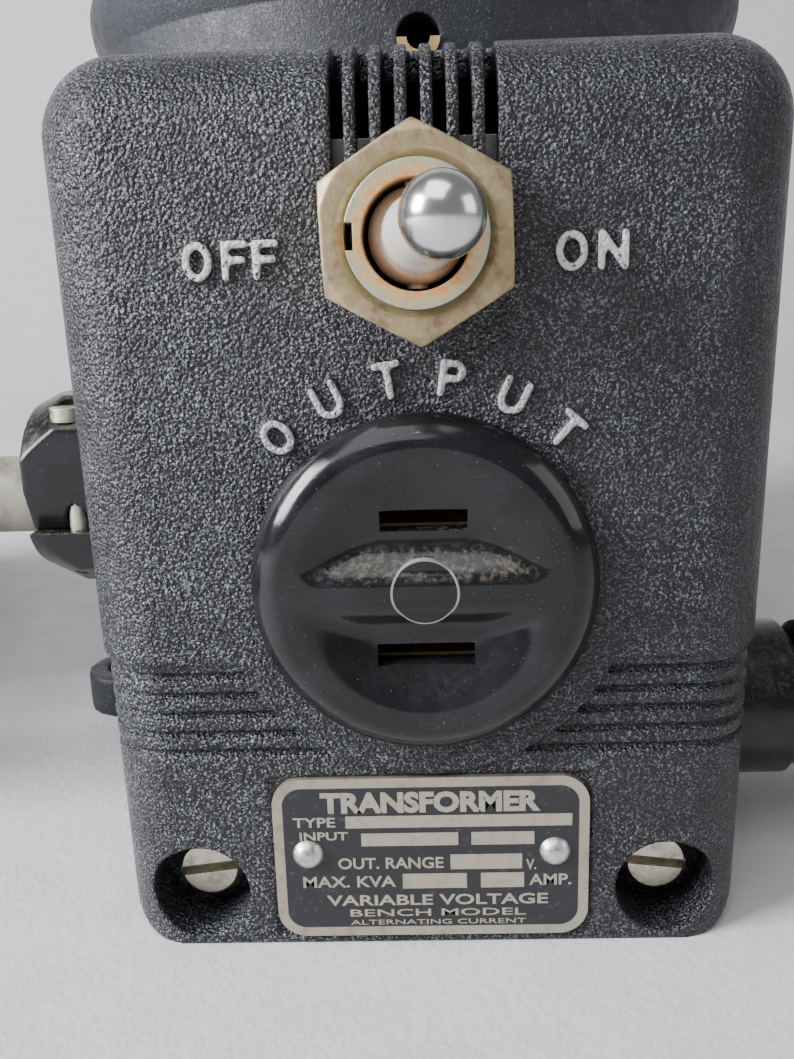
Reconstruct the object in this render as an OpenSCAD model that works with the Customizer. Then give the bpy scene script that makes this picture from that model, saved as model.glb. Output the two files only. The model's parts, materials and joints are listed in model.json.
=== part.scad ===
// Bench variable autotransformer: a round transformer housing with a dial and a
// knob on top, and a terminal box with a switch, an outlet and a fuse in front.
// Millimetres.  The origin is on the shaft's axis at the base plane, +Z is up
// and the terminal box faces -Y.

/* [Round housing] */
// Largest radius of the housing, at its rim
rim_r = 57.6; // [57:0.1:58.5]
// Height of the rim's widest line
rim_z = 109.5; // [109:0.5:111]
// Thickness of the housing's wall
housing_wall = 3.2; // [2.8:0.1:3.4]
// Number of vent slots round the housing's back and sides
vent_count = 21; // [9:2:25]

/* [Mounting] */
// Distance between the mounting ears along X
ear_spacing_x = 96; // [94:1:98]
// Distance between the mounting ears along Y
ear_spacing_y = 104; // [102:1:106]
// Diameter of the mounting holes
ear_hole_d = 6.5; // [4:0.5:7]

/* [Terminal box] */
// Width of the box at its top
box_top_w = 66.6; // [65:0.2:68]
// Width of the box at its bottom edge
box_bottom_w = 64; // [63:0.2:65]
// Height of the box
box_h = 85.5; // [85:0.5:88]
// Distance from the box's front face to the front of the rim
box_reach = 57; // [56:0.5:58]
// Thickness of the box's walls
box_wall = 2.6; // [2.2:0.1:2.8]
// Height of the top of the grooved belt
belt_top_z = 30.6; // [30:0.1:31]
// Distance between the belt's grooves
groove_pitch = 2; // [1.8:0.1:2]
// Number of vent slots in the top edge
fin_gaps = 7; // [5:2:7]

/* [Controls] */
// Height of the switch's axis
switch_z = 69.1; // [68:0.1:70]
// Tilt of the switch's lever in the ON position, degrees
lever_tilt = 9; // [6:0.5:10]
// Height of the outlet's axis
outlet_z = 38.3; // [38:0.1:39]
// Diameter of the outlet's flange
outlet_d = 31.9; // [31:0.1:32.5]
// Distance between the outlet's two slots
blade_pitch = 12.7; // [12.7:0.1:12.8]
// Height of the fuse holder's axis
fuse_z = 17; // [16.5:0.1:18]
// Height of the cord where it leaves the box
cord_z = 42.4; // [42:0.1:43]
// Radius of the knob's body
knob_r = 19; // [16:0.5:22]

/* [Cord] */
// Diameter of the supply cord
cord_d = 9; // [8.8:0.1:9]
// Radius of the put-away coil at the middle of its turns
coil_r = 48; // [47.5:0.5:48.5]
// Number of turns in the coil
coil_turns = 5; // [5:1:6]

/* [Hidden] */
$fn = 72;

front_y = -(box_reach + rim_r);
deck_z = rim_z + 7;
housing_foot_r = 55;
housing_neck_r = 56;
housing_foot_z = 8;
edge_r = 7.4;
box_back_y = -42;
belt_step = 0.45;
groove_depth = 0.55;
groove_h = 0.7;
pad_r = 19.3;
corner_r = 5.5;
pocket_x = 23.4;
pocket_z = 5.9;
pocket_r = 5;
pocket_depth = 7.4;
fin_pitch = 2.15;
fin_gap_w = 1.1;
plate_w = 31.2;
plate_h = 17.5;
plate_z = 9.75;
plate_back = 0.8;
bushing_r = 5.95;
bushing_proud = 4.2;
lever_pivot = 0.5;
outlet_r = outlet_d / 2;
outlet_neck_r = 13.4;
fuse_y = front_y + 22;
fuse_wall_x = 32.3;
fuse_r = 8.9;
grip_y = front_y + 26;
grip_clearance = 0.15;
grip_wall_x = -33;
grip_end_x = -43.6;
grip_z = cord_z + 1.3;
shaft_r = 4.76;
shaft_hole_r = 4.8;
arm_angle = -20;
track_z = 75.1;
cord_r = cord_d / 2;

// Route of the cord from inside the box to the first turn of its coil.
coil_centre = [-148, -36];
coil_low_z = 5.5;
cord_route = [
  [-22, grip_y, cord_z], [-32, grip_y, cord_z], [-46, grip_y, cord_z], [-56, grip_y, 42],
  [-67, -88.8, 39], [-78, -88.8, 32.5], [-89, -88, 24], [-100, -87, 16.5], [-111, -86, 10.5],
  [-123, -85, 6.8], [-135, -84.3, 5.5], [-148, -84, 5.5]
];
// Route that leaves the coil's last turn, comes down over the cord and turns to the plug.
cord_end_route = [
  [-100, -36, 41.5], [-100, -49.5, 40.2], [-100, -63, 36.7], [-102.1, -76, 31.9],
  [-108.4, -88.2, 26.2], [-117.9, -97.4, 20.9], [-129, -102.9, 16.7], [-142, -105, 13.8],
  [-152, -105, 13]
];
plug_at = [-152, -105, 13];
plug_turn = 180;

// ---------------------------------------------------------------- helpers

// Stands a flat shape up in the XZ plane, growing forward (-Y) from y.
module facing(x, y, z) {
  translate([x, y, z]) rotate([90, 0, 0]) children();
}

// Turns a shape's +Z axis to +X.
module sideways(x, y, z) {
  translate([x, y, z]) rotate([0, 90, 0]) children();
}

module hex_prism(across_flats, h) {
  cylinder(r = across_flats / 2 / cos(30), h = h, $fn = 6);
}

// A hexagon nut with both faces chamfered.
module hex_nut(across_flats, h, hole_r) {
  corner = across_flats / 2 / cos(30);
  difference() {
    intersection() {
      hex_prism(across_flats, h);
      cylinder(r1 = corner + h, r2 = across_flats / 2 + 0.2, h = h);
    }
    translate([0, 0, -1]) cylinder(r = hole_r, h = h + 2);
    translate([0, 0, h - 0.6]) cylinder(r1 = hole_r, r2 = hole_r + 0.7, h = 0.61);
  }
}

// Places children at four corners of a rectangle.
module at_corners(spacing_x, spacing_y) {
  for (sx = [-1, 1], sy = [-1, 1]) {
    translate([sx * spacing_x / 2, sy * spacing_y / 2, 0]) children();
  }
}

// Catmull-Rom curve through a list of points, with steps parts to each span.
function curve_point(p, i, t) =
  let (a = p[max(i - 1, 0)], b = p[i], c = p[i + 1], d = p[min(i + 2, len(p) - 1)])
  0.5 * (2 * b + (c - a) * t + (2 * a - 5 * b + 4 * c - d) * t * t
    + (3 * b - a - 3 * c + d) * t * t * t);
function curve(p, steps) = [
  for (i = [0:len(p) - 2], s = [0:steps - 1]) curve_point(p, i, s / steps), p[len(p) - 1]
];
function unit(v) = v / norm(v);
function heading(p, i) = unit(p[min(i + 1, len(p) - 1)] - p[max(i - 1, 0)]);

// A round tube swept along points; up_hint is a direction the route never takes.
module tube(p, r, sides, up_hint = [0, 0, 1]) {
  count = len(p);
  rings = [
    for (i = [0:count - 1]) let (
      d = heading(p, i),
      s = unit(cross(d, up_hint)),
      u = cross(s, d)
    ) for (k = [0:sides - 1]) p[i] + r * (cos(360 * k / sides) * s + sin(360 * k / sides) * u)
  ];
  walls = [
    for (i = [0:count - 2], k = [0:sides - 1]) let (n = (k + 1) % sides)
      [i * sides + k, i * sides + n, (i + 1) * sides + n, (i + 1) * sides + k]
  ];
  caps = [
    [for (k = [sides - 1:-1:0]) k],
    [for (k = [0:sides - 1]) (count - 1) * sides + k]
  ];
  polyhedron(rings, concat(walls, caps), convexity = 6);
}

// ---------------------------------------------------------------- lettering

stroke_w = 0.62;

module stroke(p, q) {
  d = q - p;
  translate(p) circle(d = stroke_w, $fn = 24);
  translate(q) circle(d = stroke_w, $fn = 24);
  translate(p) rotate(atan2(d[1], d[0])) translate([0, -stroke_w / 2]) square([norm(d), stroke_w]);
}

// A row of strokes through a list of points.
module strokes(points) {
  for (i = [0:len(points) - 2]) stroke(points[i], points[i + 1]);
}

function oval(a, b) = [for (t = [0:10:350]) [a * cos(t), b * sin(t)]];

// Letters stand on y = 0, centred on x = 0, w wide and h high between stroke centres.
module letter_o(w, h) {
  translate([0, h / 2]) difference() {
    polygon(oval((w + stroke_w) / 2, (h + stroke_w) / 2));
    polygon(oval((w - stroke_w) / 2, (h - stroke_w) / 2));
  }
}

module letter_f(w, h) {
  strokes([[-w / 2, 0], [-w / 2, h], [w / 2, h]]);
  stroke([-w / 2, h * 0.52], [w * 0.36, h * 0.52]);
}

module letter_n(w, h) {
  strokes([[-w / 2, 0], [-w / 2, h], [w / 2, 0], [w / 2, h]]);
}

module letter_t(w, h) {
  stroke([-w / 2, h], [w / 2, h]);
  stroke([0, 0], [0, h]);
}

module letter_u(w, h) {
  r = w / 2;
  bowl = [for (t = [180:30:360]) [r * cos(t), r + r * sin(t)]];
  strokes(concat([[-r, h]], bowl, [[r, h]]));
}

module letter_p(w, h) {
  r = h / 4;
  stroke([-w / 2, 0], [-w / 2, h]);
  for (y = [h / 2, h]) translate([-w / 2, y - stroke_w / 2]) square([w - r, stroke_w]);
  translate([w / 2 - r, h - r]) difference() {
    circle(r = r + stroke_w / 2);
    circle(r = r - stroke_w / 2);
    translate([-2, -2]) square([2, 4]);
  }
}

// ---------------------------------------------------------------- round housing

module base_casting() {
  color("#232428") difference() {
    union() {
      difference() {
        cylinder(r = housing_foot_r - 0.4, h = housing_foot_z);
        translate([0, 0, 4]) cylinder(r = 50, h = 5);
      }
      // Seat ring under the transformer, and the lower bearing's boss.
      difference() {
        cylinder(r = 30.5, h = 17.4);
        translate([0, 0, 4]) cylinder(r = 24, h = 20);
      }
      cylinder(r = 10.5, h = 14);
      for (a = [60:120:300]) rotate(a) translate([18, 0, 0]) cylinder(r = 4, h = 17.4);
      at_corners(ear_spacing_x, ear_spacing_y) cylinder(r = 6.5, h = 6.2);
      for (sx = [-1, 1], sy = [-1, 1]) {
        rotate(atan2(sy * ear_spacing_y, sx * ear_spacing_x)) translate([46, -6.5, 0])
          cube([norm([ear_spacing_x, ear_spacing_y]) / 2 - 46, 13, 5.6]);
      }
      // Tongue that carries the terminal box, with its two screw blocks.
      translate([-28, front_y + 18, 3]) cube([56, -front_y - 68, 3.2]);
      for (sx = [-1, 1]) {
        translate([sx * pocket_x - 5, front_y + 10.4, 3]) cube([10, 8, 7]);
      }
    }
    at_corners(ear_spacing_x, ear_spacing_y)
      translate([0, 0, -1]) cylinder(d = ear_hole_d, h = 9);
    translate([0, 0, 2]) cylinder(r = 7, h = 14);
    for (a = [60:120:300]) rotate(a) translate([18, 0, 5]) cylinder(r = 1.85, h = 14);
    for (sx = [-1, 1]) facing(sx * pocket_x, front_y + 22, pocket_z) cylinder(r = 1.75, h = 14);
  }
}

// Half section of the housing's outside: a wall, a bulging rim and a flat deck.
module housing_outside() {
  polygon([[0, housing_foot_z], [housing_foot_r, housing_foot_z], [housing_neck_r, rim_z - 6.5],
    [rim_r - 14, rim_z], [0, rim_z]]);
  intersection() {
    translate([rim_r - 14, rim_z]) circle(r = 14);
    translate([0, rim_z - 6.5]) square([80, 6.5]);
  }
  intersection() {
    translate([rim_r - 7, rim_z]) circle(r = 7);
    translate([0, rim_z]) square([80, 7]);
  }
  translate([0, rim_z - 6.5]) square([rim_r - 7, 13.5]);
}

module housing() {
  inner_foot = housing_foot_r - housing_wall;
  inner_neck = housing_neck_r - housing_wall;
  color("#232428") difference() {
    union() {
      rotate_extrude($fn = 144) difference() {
        housing_outside();
        polygon([[-1, housing_foot_z - 1], [inner_foot, housing_foot_z - 1], [inner_neck, rim_z - 4],
          [inner_neck - 4, deck_z - 3.4], [-1, deck_z - 3.4]]);
      }
      translate([0, 0, deck_z - 9]) cylinder(r = 11, h = 11.5);
      // Boss that holds the stop pin.
      rotate(-90) translate([16, 0, deck_z - 8]) cylinder(r = 3.5, h = 6);
    }
    translate([0, 0, deck_z - 12]) cylinder(r = 7, h = 20);
    rotate(-90) translate([16, 0, deck_z - 9]) cylinder(r = 1.5, h = 7);
    for (i = [0:vent_count - 1]) {
      rotate(-35 + 250 * i / (vent_count - 1)) {
        translate([45, -1.5, 28]) cube([15, 3, 52]);
      }
    }
    // Opening for the leads, and the small arched hole above the box.
    translate([-14, -62, 34]) cube([28, 14, 26]);
    facing(0.8, -45, 97.2) cylinder(r = 3, h = 20);
    for (a = [30:120:270]) rotate(a) translate([40, 0, deck_z - 5]) cylinder(r = 1.05, h = 8);
  }
}

module dial_plate() {
  color("#b9b9b4") translate([0, 0, deck_z]) difference() {
    cylinder(r = 45, h = 1, $fn = 144);
    translate([0, 0, -1]) cylinder(r = 11.4, h = 3);
    for (a = [30:120:270]) rotate(a) translate([40, 0, -1]) cylinder(r = 1.1, h = 3);
  }
}

module dial_pins() {
  color("silver") for (a = [30:120:270]) rotate(a) translate([40, 0, deck_z]) {
    translate([0, 0, -3]) cylinder(r = 1, h = 4);
    intersection() {
      translate([0, 0, 0.2]) sphere(r = 2.2);
      translate([-3, -3, 1]) cube([6, 6, 3]);
    }
  }
}

module upper_bearing() {
  color("peru") difference() {
    union() {
      translate([0, 0, deck_z - 9]) cylinder(r = 7, h = 11.5);
      translate([0, 0, deck_z - 10.5]) cylinder(r = 8.8, h = 1.5);
    }
    translate([0, 0, deck_z - 12]) cylinder(r = shaft_hole_r, h = 20);
  }
}

module lower_bearing() {
  color("peru") difference() {
    union() {
      translate([0, 0, 2]) cylinder(r = 7, h = 12);
      translate([0, 0, 14]) cylinder(r = 8.8, h = 1.5);
    }
    translate([0, 0, 3.5]) cylinder(r = shaft_hole_r, h = 20);
  }
}

// ---------------------------------------------------------------- transformer

// A ring of square section between two radii and two heights.
module ring(r_in, r_out, z_low, z_high) {
  translate([0, 0, z_low]) difference() {
    cylinder(r = r_out, h = z_high - z_low, $fn = 144);
    translate([0, 0, -1]) cylinder(r = r_in, h = z_high - z_low + 2, $fn = 144);
  }
}

module core() {
  color("dimgray") ring(26, 45.6, 22.4, 71.6);
}

module core_insulator_lower() {
  color("tan") ring(25.4, 46.4, 20.9, 22.4);
}

module core_insulator_upper() {
  color("tan") ring(25.4, 46.4, 71.6, 73.1);
}

// One layer of wire wrapped right round the core, as a closed shell.
module winding() {
  color("#9a5a2c") rotate_extrude($fn = 144) difference() {
    translate([24, 18.9]) square([24.2, track_z - 18.9]);
    translate([25.4, 20.9]) square([21, 52.2]);
  }
}

module commutator_track() {
  color("#c9793b") ring(35, 45, track_z, track_z + 0.6);
}

module core_pad_lower() {
  color("burlywood") ring(24.4, 30.5, 17.4, 18.9);
}

module core_pad_upper() {
  color("burlywood") ring(24.4, 30.5, track_z, track_z + 1.5);
}

module core_clamp() {
  color("silver") difference() {
    ring(12, 31, track_z + 1.5, track_z + 4);
    for (a = [60:120:300]) rotate(a) translate([18, 0, track_z]) cylinder(r = 2.1, h = 6);
  }
}

module clamp_bolts() {
  color("silver") for (a = [60:120:300]) rotate(a) translate([18, 0, 0]) {
    translate([0, 0, 8]) cylinder(r = 1.8, h = track_z - 4);
    translate([0, 0, track_z + 4]) hex_prism(6.5, 2.6);
  }
}

module stop_pin() {
  color("silver") rotate(-90) translate([16, 0, deck_z - 15]) cylinder(r = 1.5, h = 13);
}

// ---------------------------------------------------------------- moving brush gear

module shaft() {
  color("silver") difference() {
    translate([0, 0, 3.6]) cylinder(r = shaft_r, h = 132);
    rotate(arm_angle) translate([-6, -10.4, 126]) cube([12, 6, 20]);
  }
}

module shaft_collar() {
  color("silver") difference() {
    translate([0, 0, 15.8]) cylinder(r = 8.5, h = 6);
    translate([0, 0, 15]) cylinder(r = shaft_hole_r, h = 8);
    rotate(arm_angle) facing(0, -2, 18.8) cylinder(r = 1.3, h = 8);
  }
}

module knob() {
  z = deck_z + 3.4;
  color("#17181a") difference() {
    union() {
      translate([0, 0, z]) cylinder(r1 = 28, r2 = 27, h = 2.6, $fn = 144);
      translate([0, 0, z + 2.6]) cylinder(r = knob_r, h = 14.4);
      translate([0, 0, z + 17]) cylinder(r1 = knob_r, r2 = knob_r - 2, h = 2);
      // Pointer rib on the skirt.
      rotate(arm_angle) translate([-1, -27.4, z + 1]) cube([2, 10, 3]);
    }
    translate([0, 0, z - 1]) cylinder(r = shaft_hole_r, h = 17.2);
    for (i = [0:17]) rotate(20 * i + arm_angle + 100) translate([knob_r + 1.6, 0, z + 3.4])
      cylinder(r = 2.6, h = 20);
    translate([0, 0, z + 17.8]) cylinder(r = 11, h = 3);
    rotate(arm_angle) facing(0, -3, z + 8.5) cylinder(r = 1.55, h = 30);
  }
}

module knob_screw() {
  z = deck_z + 11.9;
  color("silver") rotate(arm_angle) difference() {
    facing(0, -4.5, z) cylinder(r = 1.5, h = 9);
    translate([-3, -14, z - 0.3]) cube([6, 1.5, 0.6]);
  }
}

module brush_arm() {
  color("silver") rotate(arm_angle) difference() {
    union() {
      translate([0, 0, 84]) cylinder(r = 10.5, h = 12);
      translate([-9, -48, 88]) cube([18, 44, 2.6]);
      for (x = [-9, -4.2, 3, 7.8]) translate([x, -47, 88]) cube([1.2, 36, 8]);
      // Finger that meets the stop pin at either end of the travel.
      translate([-2.2, -18.5, 95]) cube([4.4, 12, 9]);
    }
    translate([0, 0, 80]) cylinder(r = shaft_hole_r, h = 30);
    translate([-3.6, -44.6, 87]) cube([7.2, 9.2, 10]);
    facing(0, 12, 92) cylinder(r = 1.6, h = 14);
  }
}

module brush_arm_screw() {
  color("silver") rotate(arm_angle) facing(0, 10.2, 92) cylinder(r = 1.5, h = 5.3);
}

module brush_holder() {
  color("#b08a3c") rotate(arm_angle) difference() {
    union() {
      translate([-5.2, -46.2, 80]) cube([10.4, 12.4, 8]);
      translate([-3.5, -44.5, 88]) cube([7, 9, 6.5]);
    }
    translate([-3, -43, 79]) cube([6, 6, 12.6]);
  }
}

// Coil spring that presses the brush down on the track.
spring_path = [
  for (t = [0:30:1680]) [1.9 * cos(t), 1.9 * sin(t), 0.45 + 3.5 * t / 1680]
];
module brush_spring() {
  color("silver") rotate(arm_angle) translate([0, -40, 87.2])
    tube(spring_path, 0.3, 6);
}

module brush() {
  color("#303030") rotate(arm_angle) translate([-2.9, -42.9, track_z + 0.75]) cube([5.8, 5.8, 11.3]);
}

// ---------------------------------------------------------------- terminal box

// The box's rounded block, drawn in by inset on every side.
module box_blank(inset) {
  r = edge_r - inset;
  hull() for (side = [-1, 1], y = [front_y + edge_r, box_back_y]) {
    translate([side * (box_top_w / 2 - edge_r), y, box_h - edge_r]) sphere(r = r, $fn = 40);
    translate([side * (box_bottom_w / 2 - edge_r), y, -8]) cylinder(r = r, h = 1, $fn = 40);
  }
}

// Front outline with round bottom corners.
module box_outline() {
  flat = box_bottom_w / 2 - corner_r;
  translate([-60, corner_r]) square([120, 100]);
  translate([-flat, 0]) square([2 * flat, corner_r + 1]);
  for (side = [-1, 1]) translate([side * flat, corner_r]) circle(r = corner_r);
}

// Everything of the box above the belt, with the round pad under the outlet.
module above_belt() {
  translate([-60, front_y - 1, belt_top_z]) cube([120, 90, 80]);
  facing(0, front_y + 8, outlet_z) cylinder(r = pad_r, h = 10);
}

module box_outer() {
  intersection() {
    union() {
      intersection() {
        box_blank(0);
        above_belt();
      }
      intersection() {
        box_blank(belt_step);
        translate([-60, front_y - 1, -1]) cube([120, 90, belt_top_z + 1.01]);
      }
    }
    // The front is trimmed to one flat face.
    facing(0, 0, 0) linear_extrude(-front_y - 0.03) box_outline();
  }
}

module box_hollow() {
  difference() {
    intersection() {
      box_blank(box_wall);
      translate([-60, front_y, box_wall]) cube([120, 120, 120]);
    }
    for (side = [-1, 1]) facing(side * pocket_x, front_y + 10.4, pocket_z) {
      cylinder(r = 7, h = 12);
      translate([side > 0 ? 0 : -12, -7, 0]) cube([12, 14, 12]);
    }
  }
}

module belt_grooves() {
  difference() {
    for (i = [0:4]) translate([-60, front_y - 1, belt_top_z - 1.65 - groove_pitch * i])
      cube([120, 90, groove_h]);
    box_blank(belt_step + groove_depth);
    facing(0, front_y + 8, outlet_z) cylinder(r = pad_r, h = 10);
  }
}

// Slots through the top front edge; the metal left between them makes the fins.
module fin_slots() {
  for (i = [0:fin_gaps - 1]) {
    x = (i - (fin_gaps - 1) / 2) * fin_pitch - fin_gap_w / 2;
    translate([x, front_y - 1, 72]) cube([fin_gap_w, 10.2, 20]);
  }
}

module raised_words() {
  h = 2.7;
  facing(0, front_y + 0.3, switch_z - 2.9) linear_extrude(0.8) {
    translate([-18.8, 0]) letter_o(1.95, h);
    translate([-15.55, 0]) letter_f(1.7, h);
    translate([-12.9, 0]) letter_f(1.7, h);
    translate([13.1, 0]) letter_o(2.1, h);
    translate([16.6, 0]) letter_n(1.95, h);
  }
  // The word OUTPUT in an arc over the outlet.
  facing(0, front_y + 0.3, outlet_z) linear_extrude(0.8) {
    rotate(42.5) translate([0, 17.6]) letter_o(2.1, h);
    rotate(25.5) translate([0, 17.6]) letter_u(1.9, h);
    rotate(8.5) translate([0, 17.6]) letter_t(2, h);
    rotate(-8.5) translate([0, 17.6]) letter_p(1.7, h);
    rotate(-25.5) translate([0, 17.6]) letter_u(1.9, h);
    rotate(-42.5) translate([0, 17.6]) letter_t(2, h);
  }
}

module box_cover() {
  color("#26282c") {
    difference() {
      box_outer();
      box_hollow();
      belt_grooves();
      fin_slots();
      cylinder(r = housing_neck_r + 0.2, h = 100, $fn = 144);
      for (side = [-1, 1]) {
        facing(side * pocket_x, front_y + pocket_depth, pocket_z) cylinder(r = pocket_r, h = 12);
        facing(side * pocket_x, front_y + 12, pocket_z) cylinder(r = 2.1, h = 8);
        facing(side * 12.25, front_y + 5, plate_z + 0.6) cylinder(r = 0.85, h = 6);
      }
      facing(0, front_y + 5, switch_z) cylinder(r = bushing_r + 0.1, h = 8);
      facing(0, front_y + 5, outlet_z) cylinder(r = outlet_neck_r + 0.15, h = 8);
      translate([-plate_w / 2 - 0.25, front_y - 1, plate_z - plate_h / 2 - 0.25])
        cube([plate_w + 0.5, plate_back + 1, plate_h + 0.5]);
      sideways(25, fuse_y, fuse_z) cylinder(r = 6.5, h = 12);
      sideways(-38, grip_y, cord_z) cylinder(r = 7.5, h = 12);
    }
    raised_words();
  }
}

module cover_screws() {
  for (side = [-1, 1]) {
    color("#c8c0a8") facing(side * pocket_x, front_y + pocket_depth, pocket_z) difference() {
      union() {
        cylinder(r = 3.55, h = 1.6);
        translate([0, 0, 1.6]) cylinder(r1 = 3.55, r2 = 2.9, h = 0.8);
        translate([0, 0, -13]) cylinder(r = 1.7, h = 13.5);
      }
      rotate(side * -7) translate([-5, -0.5, 1.1]) cube([10, 1, 3]);
    }
  }
}

module nameplate() {
  r = 2.9;
  flat_w = plate_w - 2 * r;
  flat_h = plate_h - 2 * r;
  color("#1b1c1f") facing(0, front_y + plate_back, plate_z) difference() {
    linear_extrude(0.6) {
      square([plate_w, flat_h], center = true);
      square([flat_w, plate_h], center = true);
      for (sx = [-1, 1], sy = [-1, 1]) translate([sx * flat_w / 2, sy * flat_h / 2]) circle(r = r);
    }
    for (sx = [-1, 1]) translate([sx * 12.25, 0.6, -1]) cylinder(r = 0.85, h = 3);
  }
}

module nameplate_rivets() {
  color("silver") for (sx = [-1, 1]) facing(sx * 12.25, front_y + 0.2, plate_z + 0.6) {
    translate([0, 0, -3]) cylinder(r = 0.8, h = 3.05);
    intersection() {
      translate([0, 0, -0.6]) sphere(r = 1.65);
      cylinder(r = 3, h = 3);
    }
  }
}

// ---------------------------------------------------------------- outlet

module outlet_body() {
  color("#141416") facing(0, front_y, outlet_z) difference() {
    union() {
      cylinder(r = outlet_r, h = 0.9, $fn = 144);
      translate([0, 0, 0.9]) cylinder(r1 = outlet_r, r2 = outlet_r - 2.2, h = 2.2, $fn = 144);
      translate([0, 0, -15]) cylinder(r = outlet_neck_r, h = 15.5);
    }
    // Two troughs leave a bar across the face, with the slots in their floors.
    for (s = [-1, 1]) intersection() {
      translate([-20, s * blade_pitch / 2, 6.6]) rotate([0, 90, 0]) cylinder(r = 5.9, h = 40);
      translate([0, 0, -1]) cylinder(r = 12.1, h = 8);
    }
    for (s = [[1, 7.9], [-1, 9]]) {
      translate([-s[1] / 2, s[0] * blade_pitch / 2 - 1, -12]) cube([s[1], 2, 16]);
      translate([-6, s[0] * blade_pitch / 2 - 2.6, -16]) cube([12, 5.2, 15.2]);
    }
  }
}

module outlet_contacts() {
  color("#b89a55") facing(0, front_y, outlet_z) for (s = [-1, 1]) {
    translate([0, s * blade_pitch / 2, 0]) difference() {
      translate([-5.2, -2.2, -17]) cube([10.4, 4.4, 15.8]);
      translate([-6, -0.85, -14]) cube([12, 1.7, 14]);
    }
  }
}

module outlet_retainer() {
  color("silver") facing(0, front_y + box_wall + 1.56, outlet_z) difference() {
    cylinder(r = 16.8, h = 1.5);
    translate([0, 0, -1]) cylinder(r = outlet_neck_r + 0.05, h = 4);
  }
}

module outlet_screws() {
  color("silver") facing(0, front_y + 17, outlet_z) for (s = [-1, 1]) {
    translate([0, s * blade_pitch / 2, -2]) difference() {
      cylinder(r = 2, h = 2);
      translate([-3, -0.3, -1]) cube([6, 0.6, 1.8]);
    }
  }
}

// ---------------------------------------------------------------- toggle switch

module switch_bushing() {
  color("#8f8462") facing(0, front_y, switch_z) difference() {
    translate([0, 0, -6]) cylinder(r = bushing_r, h = 6 + bushing_proud);
    translate([0, 0, -7]) cylinder(r = 4.5, h = 20);
    // Keyway down the left side of the thread.
    translate([-bushing_r - 1, -1.1, -7]) cube([1.75, 2.2, 20]);
  }
}

module switch_nut() {
  color("#a8956a") facing(0, front_y, switch_z) rotate(31.5) hex_nut(15.875, 3.5, bushing_r + 0.05);
}

module switch_back_nut() {
  color("#a8956a") facing(0, front_y + 5.2, switch_z) rotate(12) hex_nut(14.3, 2.5, bushing_r + 0.05);
}

module switch_frame() {
  color("silver") facing(0, front_y + 7.2, switch_z) difference() {
    translate([-14.3, -8.7, 0]) cube([28.6, 17.4, 1.2]);
    translate([0, 0, -1]) cylinder(r = 4.5, h = 4);
  }
}

module switch_body() {
  color("#1d1a18") facing(0, front_y + 22, switch_z) difference() {
    translate([-14, -8.4, 0]) cube([28, 16.8, 14.8]);
    translate([0, 0, 5]) cylinder(r = 4.5, h = 12);
    translate([-7, -2, 5]) cube([14, 4, 12]);
    for (s = [-1, 1]) translate([s * 9, 0, -1]) cylinder(r = 1.2, h = 6);
  }
}

module switch_terminals() {
  color("#b89a55") facing(0, front_y + 22, switch_z) for (s = [-1, 1]) {
    translate([s * 9, 0, -1]) cylinder(r = 1.15, h = 5);
    translate([s * 9, 0, -2.6]) cylinder(r = 2.4, h = 1.6);
  }
}

// Bat lever with a ball tip; it leans to +X when the switch is on.
module switch_lever() {
  // Trunnion pin through the ball, on the axis that the lever turns about.
  color("#c9c9c9") translate([0, front_y - lever_pivot, switch_z - 4.3]) cylinder(r = 0.9, h = 8.6);
  color("#c9c9c9") translate([0, front_y - lever_pivot, switch_z]) rotate([-4.5, 0, lever_tilt])
    rotate([90, 0, 0]) {
      sphere(r = 4.1);
      translate([0, 0, 2]) cylinder(r1 = 3.45, r2 = 2.9, h = 2.5);
      translate([0, 0, 4.5]) cylinder(r1 = 2.9, r2 = 2.2, h = 6.5);
      translate([0, 0, 12.2]) sphere(r = 3.25);
      translate([0, 0, -11]) cylinder(r = 1.2, h = 9);
      translate([0, 0, -11]) sphere(r = 1.6);
    }
}

// ---------------------------------------------------------------- fuse holder, on the right wall

module fuse_holder_body() {
  color("#18191b") difference() {
    union() {
      sideways(fuse_wall_x, fuse_y, fuse_z) cylinder(r = fuse_r, h = 8.2);
      sideways(fuse_wall_x + 8.2, fuse_y, fuse_z) cylinder(r1 = fuse_r, r2 = fuse_r - 0.9, h = 0.9);
      sideways(2, fuse_y, fuse_z) cylinder(r = 6.4, h = 31);
    }
    sideways(4, fuse_y, fuse_z) cylinder(r = 3.9, h = 40);
    sideways(1, fuse_y, fuse_z) cylinder(r = 1.25, h = 4);
    sideways(36, fuse_y, fuse_z) cylinder(r = 6.5, h = 8);
  }
}

module fuse_holder_nut() {
  color("silver") sideways(26.2, fuse_y, fuse_z) hex_nut(14.5, 3.2, 6.45);
}

module fuse_holder_tag() {
  color("#b89a55") {
    sideways(0.6, fuse_y, fuse_z) cylinder(r = 4, h = 1.4);
    sideways(2, fuse_y, fuse_z) cylinder(r = 1.2, h = 5);
    sideways(6.9, fuse_y, fuse_z) cylinder(r = 2.6, h = 0.9);
    translate([-6, fuse_y - 1.6, fuse_z - 0.4]) cube([6.6, 3.2, 0.8]);
  }
}

module fuse_lock_ring() {
  color("silver") sideways(36.4, fuse_y, fuse_z) difference() {
    cylinder(r = 6.2, h = 4.4);
    translate([0, 0, -1]) cylinder(r = 5.2, h = 7);
  }
}

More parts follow.
